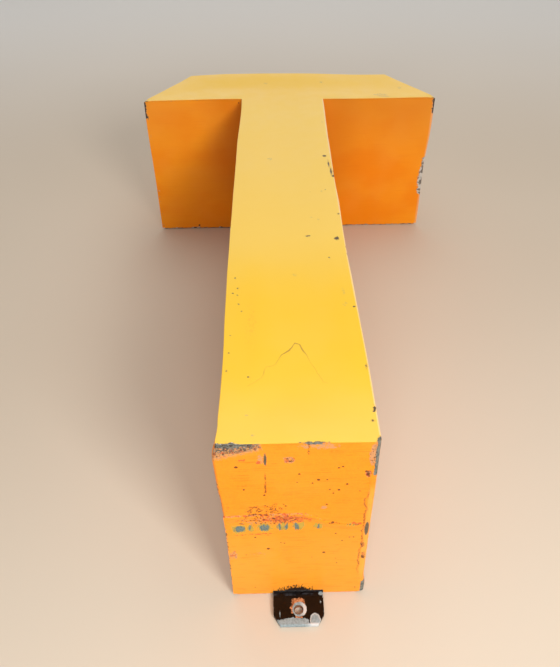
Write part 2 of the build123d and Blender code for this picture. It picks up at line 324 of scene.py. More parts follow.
# Pits in the foot wall: x, z and radius
FOOT_PITS = (
    (-40, 128, 0.8), (-8, 121, 0.6), (2, 116, 0.8), (6.5, 116, 0.5), (-1, 113, 0.5),
    (17, 112, 0.7), (12, 126, 0.6), (14, 127, 0.4), (13, 107, 0.6), (10, 104, 0.5),
    (8, 107.5, 0.4), (24, 106, 0.4), (-37, 109, 0.6), (-9, 114, 0.4), (-15, 93, 0.5),
    (7, 94, 0.5), (-32.5, 64.5, 0.5), (-25.5, 52, 0.9), (7, 46, 0.8), (-18, 58, 0.4),
    (-16, 57, 0.4), (17, 58.5, 0.5), (23.5, 62, 0.5), (21, 62, 0.4), (15, 34, 0.4),
    (0, 41, 0.4), (-34.5, 9.5, 0.5), (27.5, 7, 0.4), (13, 66, 0.5), (26, 123, 0.7),
    (27.5, 121, 0.6), (-26.3, 103.6, 0.6), (11, 77, 0.8), (-38.5, 46.5, 0.4),
)
# Worn spots over the foot's tack welds, bare in the middle: x, z and half sizes
TACKS_BARE = (
    (-41.2, 73.4, 3.3, 3.0), (-35, 73.5, 1.0, 2.0), (-27.1, 73.6, 3.0, 3.0),
    (-18.7, 74, 1.2, 3.2), (-14.9, 74.2, 1.0, 3.0), (-9.2, 73.8, 1.4, 3.4), (3, 74, 0.6, 1.8),
)
# What is left of the old green coat round them, the same way
TACKS_GREEN = (
    (-41.2, 73.2, 5.0, 4.2), (-35, 73.4, 2.8, 3.4), (-27.1, 73.4, 4.6, 4.2),
    (-16.8, 74, 3.8, 3.8), (-7.8, 74, 3.6, 3.6), (3.4, 74, 3.4, 3.2), (22, 74.6, 3.0, 1.2),
)
# Short scratches over the foot's seam, each from one x, z to another
FOOT_SCRATCHES = (
    (-35.4, 88.4, -33.0, 92.4), (-34.6, 93.0, -31.4, 93.2), (-31.0, 89.2, -29.4, 91.6),
    (-29.8, 88.8, -27.6, 89.8), (-25.2, 93.0, -22.0, 91.2), (-24.0, 90.2, -19.4, 88.4),
    (-22.0, 94.6, -20.2, 95.2), (-18.6, 92.0, -17.0, 91.0), (-37.6, 84.4, -34.2, 86.2),
    (-41.0, 78.4, -38.4, 77.6), (-33.0, 80.8, -31.6, 82.6), (-27.0, 86.0, -25.4, 84.8),
)


def most(fields):
    """The largest of several fields."""
    result = fields[0]
    for field in fields[1:]:
        result = result.at_least(field)
    return result


def spots(surface, marks, across):
    """How far a place is inside the nearest of these marks, seen along one axis."""
    return most([
        surface.spot(first, second, radii[0], radii[-1], across) for first, second, *radii in marks
    ])


def line_distance(place, segments):
    """How far a place, as two fields, is from the nearest of these straight segments."""
    distances = []
    for x0, y0, x1, y1 in segments:
        length = math.hypot(x1 - x0, y1 - y0)
        along_x, along_y = (x1 - x0) / length, (y1 - y0) / length
        from_x, from_y = place[0] - x0, place[1] - y0
        travel = from_x * along_x + from_y * along_y
        over = (abs(travel - length / 2) - length / 2).at_least(0.0)
        across = abs(from_x * along_y - from_y * along_x)
        distances.append(over + across)
    result = distances[0]
    for distance in distances[1:]:
        result = result.at_most(distance)
    return result


def flecks(surface, strength, size, stretch=(1, 1, 1)):
    """A mask of ragged flecks: none where the strength is 0, and solid where it is 1."""
    field = surface.noise(size, 3, roughness=0.75, stretch=stretch)
    return (field + strength * 0.5 - 0.76).step(-0.02, 0.03)


def zinc_colour(surface):
    """Bare galvanised steel, darker in places."""
    return surface.mix(surface.noise(1.6, 3, roughness=0.7).step(0.38, 0.62), ZINC_DARK, ZINC)


def yellow_face():
    """Chalky yellow enamel on the letter's face, chipped to the zinc, with a fine crack near the foot,
    painted sheen and a painted highlight along the stem's right edge.
    """
    s = Surface("yellow_face_paint")
    x, y = s.x, s.y
    colour = s.mix(s.noise(70, 2).step(0.38, 0.62), YELLOW, YELLOW_DEEP)
    # Chalky paint in random patches, plus painted sheen: the face is made paler near the foot and towards
    # the head
    chalk_and_sheen = s.noise(45, 3, stretch=(1.6, 1, 1)).step(0.45, 0.75) * 0.12 + y.step(FOOT + 58, FOOT + 6) * 0.50
    colour = s.mix(chalk_and_sheen + y.step(-110, SHOULDER) * 0.38 + y.step(-110, -10) * 0.18, colour, YELLOW_CHALK_AND_SHEEN)
    # Painted sheen: the stem's middle and neck made paler and milkier
    pale_stem_sheen = y.step(-145, -60) * y.step(215, 150)
    colour = s.mix(pale_stem_sheen * 0.42, colour, (0.88, 0.62, 0.15))
    deep = most([s.spot(-34, -160, 17, 60), s.spot(24, -160, 13, 55)])
    colour = s.mix(deep.step(-3, 12) * 0.75, colour, YELLOW_DEEP)

    grain = s.noise(0.9, 2) - 0.5
    streak = s.spot(-33, -158, 6, 44).step(-1, 6)
    dashes = flecks(s, streak * 0.5, 1.3, stretch=(1, 2, 1))
    colour = s.mix(dashes * 0.34 + streak * 0.08, colour, (0.80, 0.37, 0.008))

    warp = s.noise(2.4, 2) - 0.5
    bruise = (spots(s, FACE_BRUISES, 2) + warp * 3.0).step(-0.4, 0.9)
    colour = s.mix(bruise * s.noise(1.5, 3).step(0.35, 0.65) * 0.42, colour, ZINC)

    wander = s.noise(7, 2) - 0.5
    crack_parts = [(*start, *end) for start, end in zip(FACE_CRACK, FACE_CRACK[1:])]
    crack = line_distance((x + wander * 2.5, y - wander * 2.5), crack_parts)
    apex = s.spot(-10, -179, 9, 9).step(-6, 4)
    crack_mask = (crack + s.noise(5, 1) * 0.5 - apex * 0.26).step(0.62, 0.18)
    colour = s.mix(crack_mask * (apex * 0.36 + 0.27), colour, (0.30, 0.12, 0.02))

    # A pale line along the stem's right edge: some wear, and a painted highlight where the rounded edge
    # catches the light
    along_edge = x + y.step(190, 90) * y.step(-195, -95) * STEM_BOW
    right_edge_wear_and_highlight = (along_edge + grain * 0.5).step(STEM_RIGHT - 1.1, STEM_RIGHT - 0.4)
    right_edge_wear_and_highlight = right_edge_wear_and_highlight * y.step(SHOULDER, SHOULDER - 3)
    colour = s.mix(right_edge_wear_and_highlight * 0.55, colour, (0.88, 0.66, 0.40))

    chip = spots(s, FACE_CHIPS, 2) + warp * 2.2 + grain * 1.6 - 0.26
    scratch = most([
        s.spot(27.6, 44, 0.5, 4.0),
        s.spot(28.6, 31, 0.6, 5.0),
        s.spot(31.3, 30, 0.9, 6.0),
        s.spot(30.3, 23, 1.6, 1.6),
    ])
    chip = chip.at_least(scratch + warp * 0.8)
    flap = 0.30 - abs(s.spot(29.8, -84, 1.6, 4.4)) - x.step(30.4, 29.4) * 1.5
    chip = chip.at_least(flap + warp * 0.7)
    front = (FOOT + 1.2 - y).at_most(1.1) + warp * 2.6 + grain * 1.6
    left_bare = x.step(STEM_LEFT + 13, STEM_LEFT + 8)
    middle_bare = s.spot(-1, FOOT, 6.5, 3).step(-3, 2)
    chip = chip.at_least(front - 2.0 + left_bare.at_least(middle_bare * 0.9) * 1.9)
    corner = s.spot(STEM_RIGHT, FOOT, 2.4, 3.4) + warp * 1.5
    chip = chip.at_least(corner)
    either_arm = s.vector(abs(x), y, 0.0)
    arm_corner = s.spot(143, SHOULDER, 3.2, 2.4, place=either_arm) + warp * 1.5
    chip = chip.at_least(arm_corner)
    halo = chip.step(-0.7, -0.15)
    colour = s.mix(halo * 0.50, colour, (0.50, 0.27, 0.05))
    bare = chip.step(-0.12, 0.12)
    # Pale torn zinc along the front edge at the left, which is also a painted highlight of that sunlit edge
    torn_edge_and_glint = y.step(FOOT + 2.6, FOOT + 1.2) * s.noise(1.8, 2).step(0.50, 0.60) * x.step(-36, -41)
    by_foot = y.step(FOOT + 9, FOOT + 4)
    metal = s.mix(0.82 - by_foot * 0.5, zinc_colour(s), (0.10, 0.055, 0.015))
    metal = s.mix(torn_edge_and_glint, metal, (0.62, 0.60, 0.55))
    colour = s.mix(bare, colour, metal)

    height = s.noise(0.7, 2, stretch=(1, 14, 1)) * 0.010 + s.noise(16, 2) * 0.10 - bare * 0.10
    height = height - crack_mask * 0.05 + chip.step(-0.9, -0.1) * 0.02
    roughness = s.noise(12, 3).step(0.3, 0.7) * 0.10 + 0.34 + bare * 0.12
    return s.finish(colour, roughness, metallic=bare * 0.3, height=height, specular=0.32)


def foot_marks(s, on_foot, colour):
    """The foot's colour with its worn seam, tack welds, chips and pits, and how these stand out."""
    x, z = s.x, s.z
    grain = s.noise(0.8, 3, roughness=0.7) - 0.5
    blotch = s.noise(2.6, 3) - 0.5

    def spot(px, pz, rx, rz):
        return s.spot(px, pz, rx, rz, across=1)

    seam_z = (s.noise(9, 2, stretch=(1, 99, 99)) - 0.5) * 2.4 + SEAM_TOP
    for start, end, fall in SEAM_FALLS:
        seam_z = seam_z - x.step(start, end) * fall
    below_seam = seam_z - z
    band_share = (x + blotch * 5).step(LAP_LEFT + 1.0, LAP_LEFT - 3.5)
    seam_near = abs(below_seam).step(1.7, 0.2) * (x.step(6, -8) * 0.45 + 0.55)
    zone = spot(-23, 80.8, 27, 7).step(-2, 4)
    flower = spot(-13.2, 132.8, 3.8, 3.8).step(-1, 2)
    left_rub = spot(-46, 47, 3.4, 6).step(-1, 2)
    lip_blots = most([spot(29.2, 54, 1.4, 2.8), spot(30.2, 42, 1.5, 4.0), spot(27.4, 121, 1.8, 3.0)])
    lip_blots = lip_blots.step(-0.8, 0.6)
    right_top = spot(28.9, 137, 2.2, 9).step(-1, 1)
    low_line = spot(-33, 67.4, 12, 1.0).step(-0.6, 0.6)
    fold = x - STEM_LEFT + 1.0 + z.step(60, 132) * 2.6 - z.step(136, 146) * 1.8
    fold_rub = fold.step(2.0, 0.6) * s.noise(14, 2).step(0.38, 0.56)

    # Pink and red primer along the top edge, the seam and some rubbed places
    band = (z - (x - STEM_LEFT) * 0.30 + blotch * 3.0).step(130.0, 138.5) * band_share
    haze = band.step(0.30, 0.95) * (blotch.step(-0.12, 0.10) * 0.30 + 0.35)
    colour = s.mix(haze, colour, (0.52, 0.30, 0.14))
    colour = s.mix(flecks(s, band * 0.60, 1.1) * 0.80, colour, PRIMER_TAN)
    pink = flecks(s, most([
        band * 0.52,
        spot(2, 143.5, 11, 2.8).step(-1.5, 1.5) * 0.62,
        flower * 0.62,
        spot(-27.8, 133.5, 2.2, 4.6).step(-1, 1.5) * 0.66,
        right_top * 0.80,
        left_rub * 0.60,
        lip_blots * 0.55,
        fold_rub * 0.50,
        seam_near * 0.56,
        zone * 0.42,
        spot(-30, 47, 8, 1.8).step(-1, 1) * 0.45,
        spot(5.4, 91, 2.4, 1.6).step(-0.8, 0.8) * 0.7,
    ]), 1.5)
    colour = s.mix(pink * 0.90, colour, PRIMER_PINK)
    red = flecks(s, most([
        spot(-15, 81.3, 21, 5.6).step(-2, 4) * 0.62,
        seam_near * 0.50,
        spot(24, 75.8, 4, 1.8).step(-1, 1) * 0.6,
        band * 0.42,
        flower * 0.45,
        spot(-28.8, 131.2, 1.3, 1.5).step(-0.6, 0.6) * 0.66,
        spot(-36.5, 133.4, 2.0, 0.9).step(-0.8, 0.6) * 0.60,
        lip_blots * 0.60,
        left_rub * 0.45,
        low_line * 0.52,
    ]), 1.75)
    colour = s.mix(red * 0.90, colour, PRIMER_RED)

    # An old green coat, then bare zinc, over the tack welds
    green = flecks(s, spots(s, TACKS_GREEN, 1).step(-2.6, 2.2) * 0.82, 1.9, stretch=(0.7, 1, 2.8))
    colour = s.mix(green * 0.85, colour, OLD_GREEN)
    tack_core = flecks(s, spots(s, TACKS_BARE, 1).step(-1.8, 1.4) * 0.78, 1.7, stretch=(0.6, 1, 4.0))

    rise = z - 141.0 - x.step(-41, -31) * 2.6
    solid = (rise - 2.4).step(-0.9, 0.5) * 0.95
    top_bare = flecks(s, (rise.step(-7.0, 1.5) * 0.56).at_least(solid) * band_share, 1.0)
    bar = (spot(LAP_LEFT + 0.3, 133.5, 0.9, 5.2) + grain * 1.2).step(-0.1, 0.3)
    corner_strength = x.step(28.8, 30.8) * z.step(118.5, 120.5) * 0.95
    right_corner = flecks(s, corner_strength, 1.1, stretch=(0.7, 1, 3))
    right_split = ((x - 30.7).only(z.step(17, 13)) + grain * 0.8).step(-0.1, 0.3)
    oval = (spot(30.2, 70.8, 1.4, 7.6) + grain * 0.9).step(-0.1, 0.4)
    front_chip = (spot(-1, FRONT, 5.0, 1.2) + grain * 2.6).step(-0.1, 0.3)
    bare = most([tack_core, top_bare, bar, right_corner, right_split, oval, front_chip]) * on_foot
    metal = s.mix(tack_core, zinc_colour(s), s.mix(grain.step(-0.1, 0.1), TACK_BLUE, TACK_GREY))
    metal = s.mix(oval.at_least(bar) * 0.7, metal, OLD_BROWN)
    colour = s.mix(bare, colour, metal)

    # Pits, dotted cracks along the lapped edges, scribbles over the seam, and soot over the bracket
    pits = (spots(s, FOOT_PITS, 1) + blotch * 1.2 + 0.06).step(-0.12, 0.18)
    lap_crack = (0.7 - abs(x - LAP_LEFT)).only(z.step(103, 106) * z.step(129, 124))
    small_crack = (0.6 - abs(x - LAP_LEFT - 22)).only(z.step(136, 137))
    seam_crack = (0.5 - abs(below_seam - 1.0)).only(x.step(6, 9) * x.step(29, 27))
    cracks = most([lap_crack, small_crack, seam_crack])
    dotted = (cracks + (s.noise(1.7, 3, roughness=0.8) - 0.5) * 5.0 - 0.45).step(-0.1, 0.3)
    # Painted highlight on the right lap's fold, where it faces the light
    lip_highlight = x.step(LAP_RIGHT - 0.3, LAP_RIGHT + 0.9) * z.step(18, 26) * z.step(112, 104) * (1.0 - bare)
    colour = s.mix(lip_highlight * 0.40, colour, (0.90, 0.40, 0.07))
    lip_wander = (s.noise(8, 3, stretch=(99, 99, 1)) - 0.5) * 7.0
    lip_gap = abs(x - LAP_RIGHT + 0.4 + lip_wander + blotch * 2.0)
    lip_crack = lip_gap.step(0.8, 0.15) * z.step(20, 27) * z.step(108, 101) * on_foot
    colour = s.mix(lip_crack * (blotch.step(-0.08, 0.06) * 0.50 + 0.35), colour, (0.33, 0.09, 0.015))
    scribbled = most([
        spot(-26, 88.5, 14, 7.5),
        spot(-37, 83.5, 6, 3.4),
        spot(-40, 77.5, 6, 1.8),
        spot(-46.5, 92, 2.4, 7),
        spot(27, 122.5, 2.4, 3.2),
        spot(-15, 82, 14, 3.0),
    ]).step(-1.0, 2.6)
    wiggle = s.noise(1.8, 2) - 0.5
    strokes = line_distance((x + wiggle * 2.2, z - wiggle * 2.2), FOOT_SCRATCHES)
    scribble = (0.42 - strokes + grain * 1.6).step(-0.1, 0.2)
    dark = flecks(s, most([
        lip_blots * 0.50,
        fold_rub * 0.44,
        scribbled * 0.38,
        zone * 0.37,
        flower * 0.40,
        band * 0.40,
        right_top * 0.36,
    ]), 1.25)
    pit = most([pits, dotted * 0.82, dark, scribble * 0.66]) * on_foot
    colour = s.mix(pit * 0.86, colour, PIT)

    brushed = spot(STEM_MIDDLE - 2, 0, 20, 15).step(-0.5, 8.0) * 0.60
    burnt = spot(STEM_MIDDLE - 0.7, 2, 12, 7.6).step(-0.3, 3.2)
    soot = flecks(s, brushed.at_least(burnt), 1.6, stretch=(0.45, 1, 2.2)) * on_foot
    colour = s.mix(soot, colour, SOOT)
    ridge = below_seam.step(-0.9, 0.5) * below_seam.step(5.5, 0.8)
    return colour, bare, pit.at_least(soot * 0.5), ridge * on_foot, pink * on_foot


def orange_wall():
    """Brushed orange enamel on the letter's walls, rubbed through to primer, an old green coat and zinc,
    with painted sheen, a painted reflection and a painted highlight on the foot, and painted shade in the
    inner corners.
    """
    s = Surface("orange_wall_paint")
    x, y, z = s.x, s.y, s.z
    on_foot = y.step(FOOT + 1.6, FOOT + 1.0)
    strokes = s.noise(0.9, 3, roughness=0.65, stretch=(30, 30, 1))
    colour = s.mix(s.noise(38, 3, stretch=(1.5, 1.5, 1)).step(0.35, 0.65), ORANGE, ORANGE_DEEP)
    colour = s.mix(strokes.step(0.52, 0.74) * 0.22, colour, (0.70, 0.15, 0.002))
    # Chalky paint in random patches, and on the foot a painted reflection that grows paler towards its
    # bottom
    chalk_and_sheen = s.noise(30, 3).step(0.42, 0.72) * 0.22 + on_foot * (z.step(98, 30) * 0.62 + 0.05)
    far_walls = 1.0 - on_foot
    # Painted sheen at the top of the arms' walls
    chalk_and_sheen = chalk_and_sheen + far_walls * z.step(70, FRONT) * abs(x).step(60, 142) * 0.35
    colour = s.mix(chalk_and_sheen, colour, ORANGE_CHALK_AND_SHEEN)
    # Darker towards the top of the right arm's walls
    darker_right_top = far_walls * z.step(60, FRONT) * x.step(20, 60) * 0.42
    colour = s.mix(darker_right_top, colour, (0.50, 0.17, 0.012))
    # Painted shade on the walls beside the stem, in the crossbar's inner corners
    inner_corner_shade = abs(x - STEM_MIDDLE).step(92, 44) * y.step(SHOULDER - 4, SHOULDER - 2) * z.step(20, 60)
    colour = s.mix(far_walls * inner_corner_shade * 0.42, colour, (0.50, 0.13, 0.004))

    foot_colour = s.mix(strokes.step(0.52, 0.74) * 0.40, FOOT_ORANGE, (0.74, 0.165, 0.003))
    # The same chalk and painted reflection on the foot
    foot_colour = s.mix(chalk_and_sheen, foot_colour, ORANGE_CHALK_AND_SHEEN)
    hairs = s.noise(0.6, 2, stretch=(38, 38, 1)).step(0.55, 0.64) * s.noise(12, 2).step(0.40, 0.58)
    foot_colour = s.mix(hairs * (z.step(60, 120) * 0.22 + 0.36), foot_colour, (0.52, 0.12, 0.004))
    mottle = s.noise(1.4, 3, roughness=0.75).step(0.38, 0.62)
    foot_colour = s.mix(mottle * 0.34, foot_colour, (0.86, 0.31, 0.010))
    smears = s.noise(3.2, 3, stretch=(3, 3, 1)).step(0.56, 0.70)
    foot_colour = s.mix(smears * 0.30, foot_colour, (0.80, 0.175, 0.004))
    foot_colour = s.mix(s.specks(8, 0.55) * 0.75, foot_colour, (0.22, 0.06, 0.01))
    marked, foot_bare, dents, ridge, pink = foot_marks(s, on_foot, foot_colour)
    colour = s.mix(on_foot, colour, marked)

    # The crossbar's worn corners and the rubbed edges
    grain = s.noise(1.2, 3, roughness=0.7) - 0.5
    blotch = s.noise(5.0, 3) - 0.5
    left_reach = x.step(-105, -140) * LEFT_ARM_REACH
    right_reach = x.step(105, 140) * z.step(70, 110) * RIGHT_ARM_REACH
    arm_end = abs(x + left_reach - right_reach) - 141.6
    high_bare = arm_end.only(z.step(123, 130)) + z.step(136, 144) * 0.8 + grain * 3.4 + blotch * 5.0
    jag = arm_end + 4.2 - abs(z - 58) * 0.10 + blotch * 7.0 + grain * 3.0
    low_bare = jag.only(z.step(33, 40) * z.step(86, 80) * x.step(0, 1))
    foot_line = 2.2 - z + blotch * 6.0 + grain * 2.0 - 1.2
    top_line = (z - FRONT + 0.8).at_most(0.5) + blotch * 5.0 + grain * 1.5 - 1.9
    foot_corner = (abs(x - STEM_MIDDLE) - 39.2).at_most(FOOT + 1.4 - y).at_most(0.5)
    corner_nicks = foot_corner + blotch * 6.0 + grain * 2.0 - 1.0
    fold_rubs = spots(s, [(*corner, 2.4) for corner in outline_points()], 2)
    folds = fold_rubs + blotch * 9.0 + grain * 2.0 - 3.4
    wear = most([high_bare, low_bare, foot_line, top_line, corner_nicks, folds])
    rubbed_fold = arm_end.step(-1.6, -0.2) * far_walls * x.step(0, 1)
    colour = s.mix(rubbed_fold * 0.40, colour, (0.80, 0.46, 0.26))
    halo = wear.step(-1.2, 0.1) * far_walls
    colour = s.mix(halo * 0.45, colour, PRIMER_PINK)
    far_bare = wear.step(-0.1, 0.3) * far_walls
    dull_metal = s.mix(low_bare.step(-1.0, 0.5), (0.07, 0.055, 0.045), (0.17, 0.155, 0.135))
    bright_metal = s.noise(3.6, 3).step(0.42, 0.56) * z.step(110, 90)
    colour = s.mix(far_bare, colour, s.mix(bright_metal, dull_metal, (0.55, 0.55, 0.52)))
    specks = s.specks(34, 1.1) * far_walls
    colour = s.mix(specks, colour, PIT)
    sides = far_walls * abs(y - SHOULDER).step(1.5, 3.0) * (1.0 - far_bare)
    scuffs = s.noise(2.0, 3, stretch=(16, 16, 1)).step(0.60, 0.68) * s.noise(55, 2).step(0.50, 0.60)
    colour = s.mix(sides * scuffs * 0.40, colour, (0.80, 0.42, 0.14))

    bare = foot_bare.at_least(far_bare)
    height = strokes * 0.045 + s.noise(9, 2) * 0.12 + s.noise(0.7, 2) * 0.02 * on_foot
    height = height - bare * 0.10 - dents * 0.16 + ridge * 0.22 + pink * 0.05 - specks * 0.1
    roughness = strokes * 0.16 + 0.30 + bare * 0.12 + pink * 0.15
    return s.finish(colour, roughness, metallic=bare * 0.25, height=height, specular=0.18)


def black_bracket():
    """Black enamel on the brackets, chipped to zinc at the tip and round the screw hole, with painted
    highlights on the bend, the ring and the tip, and painted shade in the hole.
    """
    s = Surface("black_bracket_paint")
    x, y, z = s.x, s.y, s.z
    grain = s.noise(0.7, 3, roughness=0.7) - 0.5
    blotch = s.noise(2.6, 3, roughness=0.6) - 0.5
    outward = abs(y)  # the same at both ends of the letter
    wall = -FOOT
    hole_y = wall + TAB_HOLE_REACH
    mirrored = s.vector(x, outward, 0.0)
    upper = z.step(1.6, 2.4)

    def spot(px, py, rx, ry):
        return s.spot(px, py, rx, ry, place=mirrored)

    ring = spot(STEM_MIDDLE + 0.6, hole_y - 0.2, 4.5, 4.7) + blotch * 1.8 + grain * 0.8
    smear = spot(STEM_MIDDLE + 0.1, hole_y - 3.8, 4.2, 3.8) + blotch * 4.0 + grain * 3.0
    left_smear = spot(STEM_MIDDLE - 3.8, hole_y - 0.6, 1.2, 3.2) + blotch * 3.0 + grain * 2.0
    off_middle = x - STEM_MIDDLE + 3
    tip = outward - (-TAB_TIP - 4.6) - off_middle * off_middle * 0.018 + blotch * 3.6 + grain * 1.6
    tip = tip.only(x.step(TAB_RIGHT - 8, TAB_RIGHT - 10))
    lobe = spot(TAB_RIGHT - 5.6, -TAB_TIP - 3.0, 3.2, 4.2) + blotch * 1.2 + grain * 0.8
    end_edge = outward.step(-TAB_TIP - 1.6, -TAB_TIP - 0.6)
    nicks = most([spot(TAB_RIGHT - 1.2, wall + 2.4, 1.5, 1.2), spot(TAB_RIGHT - 1.8, wall + 7.8, 0.4, 0.8)])
    nicks = nicks + grain * 1.4
    scratch = most([spot(TAB_LEFT + 4, wall + 15, 0.3, 1.7), spot(TAB_RIGHT - 10, wall + 19.5, 0.8, 0.35)])
    scratch = scratch + grain * 0.8
    edge_wear = most([TAB_LEFT + 0.6 - x, x - TAB_RIGHT + 0.6]) + blotch * 4.0 + grain * 2.0 - 0.8
    bare = most([ring, tip, lobe, nicks, scratch, edge_wear]).step(-0.12, 0.2)
    bare = bare.at_least(end_edge) * z.step(8, 5)
    rusty = most([smear, left_smear, spot(STEM_MIDDLE, hole_y + 4.6, 2.2, 1.4) + grain * 2]).step(-0.2, 0.4)
    rusty = rusty * z.step(8, 5)
    inside_hole = spot(STEM_MIDDLE, hole_y, 3.0, 3.0).step(-0.15, 0.05)

    colour = s.mix(s.noise(9, 3).step(0.4, 0.7) * 0.6, BLACK_ENAMEL, (0.009, 0.006, 0.005))
    # A broken bluish painted highlight along the bracket's bend by the wall
    patches = s.noise(2.2, 3, stretch=(2, 1, 1)).step(0.44, 0.60)
    bend_highlight = (1.0 - abs(outward - (wall + 2.8))).step(0, 0.6) * patches
    colour = s.mix(bend_highlight * 0.8, colour, (0.045, 0.05, 0.06))
    colour = s.mix(rusty * (1.0 - bare), colour, s.mix(s.noise(1.5, 3).step(0.4, 0.6), RUST, RUST_PALE))
    pale = s.mix(s.noise(1.3, 3, roughness=0.7).step(0.4, 0.62), ZINC_PALE, (0.24, 0.30, 0.32))
    # Painted highlights: the right side of the bare ring round the hole and the right of the tip's end edge
    # made paler
    ring_highlight = ring.step(-0.2, 0.5) * x.step(STEM_MIDDLE + 0.5, STEM_MIDDLE + 4.2)
    tip_edge_highlight = end_edge * x.step(STEM_MIDDLE + 3, STEM_MIDDLE + 9)
    pale = s.mix(ring_highlight.at_least(tip_edge_highlight), pale, (0.66, 0.69, 0.70))
    colour = s.mix(bare, colour, pale)
    lobe_rim = (0.5 - abs(lobe - 0.3)).step(0.0, 0.4) * upper
    colour = s.mix(lobe_rim * 0.6, colour, (0.70, 0.69, 0.66))
    # Inside the hole: rust, and dark brown that is painted shade
    colour = s.mix(inside_hole, colour, s.mix(z.step(1.0, 2.8), RUST, (0.16, 0.10, 0.07)))
    underside = z.step(0.5, 0.2)
    colour = s.mix(underside * s.noise(4, 3).step(0.4, 0.6), colour, RUST)
    by_wall = outward.step(wall + 4.5, wall + 1.5) * s.noise(2.4, 3).step(0.40, 0.56)
    height = s.noise(5, 2) * 0.20 + s.noise(0.9, 2) * 0.04 - bare * 0.12 - rusty * 0.05 + by_wall * 0.12
    roughness = bare * 0.22 + 0.27 + rusty * 0.2 + by_wall * 0.35
    return s.finish(colour, roughness, metallic=bare * 0.25, height=height, specular=0.2)


def zinc_inside():
    """The sheets' bare inside: spangled zinc, with overspray near the back and some rust."""
    s = Surface("zinc_inside")
    spangle = s.noise(5, 4, roughness=0.7, distortion=1.5)
    colour = s.mix(spangle.step(0.35, 0.65), (0.30, 0.33, 0.34), (0.46, 0.48, 0.48))
    overspray = s.z.step(26, 2) * s.noise(3, 3).step(0.35, 0.65)
    colour = s.mix(overspray * 0.75, colour, ORANGE)
    rust = (s.noise(11, 4, roughness=0.7) + s.z.step(FRONT - 12, FRONT) * 0.08).step(0.60, 0.70)
    colour = s.mix(rust, colour, RUST)
    height = spangle * 0.03 + rust * 0.12 + s.noise(1.0, 3) * 0.02
    return s.finish(colour, rust * 0.35 + 0.42, metallic=0.55 - rust * 0.5, height=height)


def grey_ties():
    """Grey primer on the flat bars, with orange overspray and rust at the edges."""
    s = Surface("tie_steel")
    colour = s.mix(s.noise(12, 3).step(0.4, 0.6), (0.19, 0.18, 0.165), (0.27, 0.255, 0.235))
    colour = s.mix(s.noise(4, 3).step(0.55, 0.7) * 0.6, colour, ORANGE)
    rust = s.noise(7, 4, roughness=0.75).step(0.52, 0.64)
    colour = s.mix(rust, colour, RUST)
    height = s.noise(2.5, 3) * 0.08 + rust * 0.10
    return s.finish(colour, rust * 0.25 + 0.55, height=height)


def solder_metal():
    """Dull tinned solder, greyed and uneven."""
    s = Surface("solder")
    colour = s.mix(s.noise(4, 3).step(0.4, 0.65), (0.33, 0.34, 0.34), (0.52, 0.53, 0.52))
    colour = s.mix(s.noise(8, 3).step(0.6, 0.72), colour, RUST)
    return s.finish(colour, s.noise(3, 2) * 0.25 + 0.32, metallic=0.8, height=s.noise(1.5, 3) * 0.10)


def weld_metal():
    """Rough weld metal, blued and rusting."""
    s = Surface("weld_steel")
    colour = s.mix(s.noise(3, 3).step(0.4, 0.6), (0.09, 0.085, 0.085), (0.20, 0.18, 0.165))
    rust = s.noise(4, 4, roughness=0.7).step(0.5, 0.62)
    colour = s.mix(rust, colour, RUST)
    return s.finish(colour, 0.62, metallic=0.5 - rust * 0.45, height=s.noise(0.9, 3) * 0.12)


def pale_floor():
    """A plain pale matt floor, painted paler far away and darker under the lamps, so that it looks nearly
    even.
    """
    s = Surface("pale_floor")
    colour = s.mix(s.noise(600, 2).step(0.3, 0.7), (0.60, 0.505, 0.40), (0.63, 0.535, 0.43))
    # Painted light and shade: paler far away, and darker before the foot, where the lamps are close
    along = s.y + 600.0
    far_painted_light = (s.x * s.x + along * along).math("SQRT").step(900, 1900)
    colour = s.mix(far_painted_light, colour, (0.86, 0.83, 0.79))
    beside, before = s.x - 150.0, s.y + 720.0
    lamp_painted_shade = (beside * beside + before * before).math("SQRT").step(470, 150)
    colour = s.mix(lamp_painted_shade * 0.6, colour, (0.34, 0.30, 0.25))
    return s.finish(colour, 0.8, specular=0.1, height=s.noise(1.5, 2) * 0.02)


# ---------------------------------------------------------------- shapes


def outline_points():
    """The letter's outline, counter-clockwise from the foot's left corner, in millimetres."""
    half = face_high.x / MM
    top_half = half - ARM_TAPER
    return [
        (STEM_LEFT, FOOT), (STEM_RIGHT, FOOT), (STEM_RIGHT, SHOULDER), (half, SHOULDER),
        (top_half, TOP), (-top_half, TOP), (-half, SHOULDER), (STEM_LEFT, SHOULDER),
    ]


def inset_from_outline(points):
    """How far each point is from the letter's outline, in millimetres, for rows of x and y."""
    corners = np.array(outline_points())
    nearest = np.full(len(points), UNBOUNDED)
    for start, end in zip(corners, np.roll(corners, -1, axis=0)):
        run = end - start
        share = np.clip((points - start) @ run / (run @ run), 0, 1)
        gap = np.linalg.norm(points - (start + share[:, None] * run), axis=1)
        nearest = np.minimum(nearest, gap)
    return nearest


def smooth_step(low, high, values):
    share = np.clip((values - low) / (high - low), 0, 1)
    return share * share * (3 - 2 * share)


